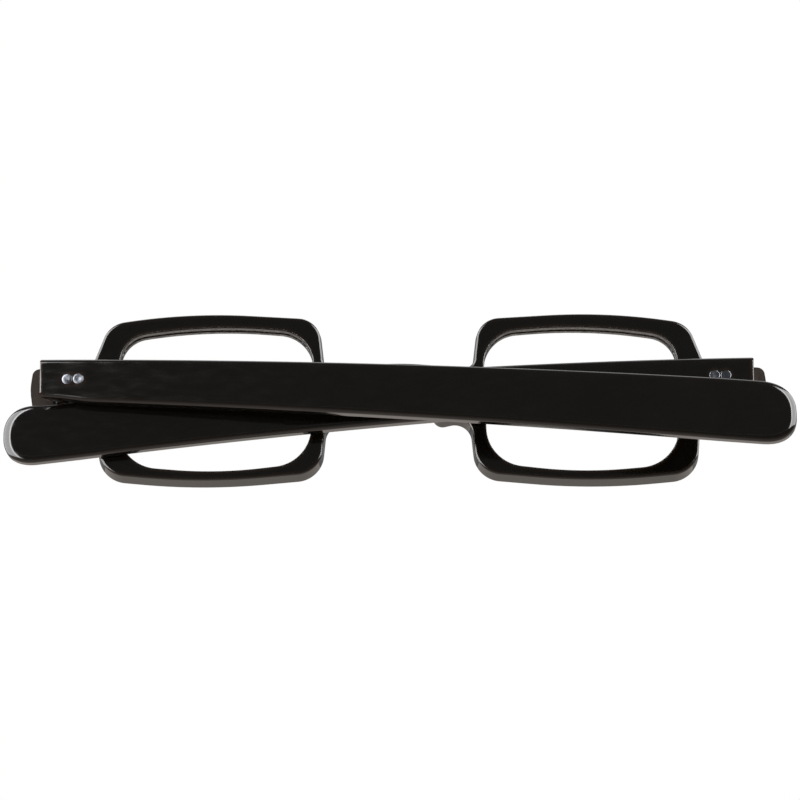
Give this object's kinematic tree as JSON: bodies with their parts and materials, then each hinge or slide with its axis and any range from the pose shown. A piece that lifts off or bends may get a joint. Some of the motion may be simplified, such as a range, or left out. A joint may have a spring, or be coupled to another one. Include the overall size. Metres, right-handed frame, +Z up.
{
  "type": "eyeglasses frame",
  "caption": "Black acetate eyeglasses frame without lenses, with a saddle bridge and riveted hinges, its temples folded behind the front.",
  "frame": {"origin": "middle of the bridge's flat back face, on the plane of symmetry of the front", "axes": "+X towards the wearer's left, along the front; +Y backwards, away from the front face and towards the wearer; +Z up"},
  "size_m": [0.1519, 0.025, 0.0343],
  "materials": {
    "front_acetate": "tumbled and polished black acetate",
    "temple_acetate": "tumbled and polished black acetate, brownish at thin edges",
    "hinge_steel": "stamped and lightly polished",
    "rivet_steel": "filed and polished flush with the acetate",
    "screw_steel": "turned",
    "core_steel": "drawn wire"
  },
  "bodies": {
    "front": {"front_frame": "front_acetate", "front_hinge_leaf_left": "hinge_steel", "front_hinge_leaf_right": "hinge_steel", "front_rivet_left_1": "rivet_steel", "front_rivet_left_2": "rivet_steel", "front_rivet_right_1": "rivet_steel", "front_rivet_right_2": "rivet_steel", "hinge_screw_left": "screw_steel", "hinge_screw_right": "screw_steel"},
    "left_temple": {"temple_left": "temple_acetate", "temple_core_wire_left": "core_steel", "temple_hinge_leaf_left": "hinge_steel", "temple_rivet_left_1": "rivet_steel", "temple_rivet_left_2": "rivet_steel"},
    "right_temple": {"temple_right": "temple_acetate", "temple_core_wire_right": "core_steel", "temple_hinge_leaf_right": "hinge_steel", "temple_rivet_right_1": "rivet_steel", "temple_rivet_right_2": "rivet_steel"}
  },
  "joints": [
    {"name": "left_temple_hinge", "type": "hinge", "parent": "front", "child": "left_temple", "pos_m": [0.0653, 0.0019, -0.0019], "axis": [0, 0, -1], "range_deg": [0, 83.4]},
    {"name": "right_temple_hinge", "type": "hinge", "parent": "front", "child": "right_temple", "pos_m": [-0.0653, 0.0019, -0.0014], "axis": [0, 0, 1], "range_deg": [-0.1, 0.2]}
  ]
}
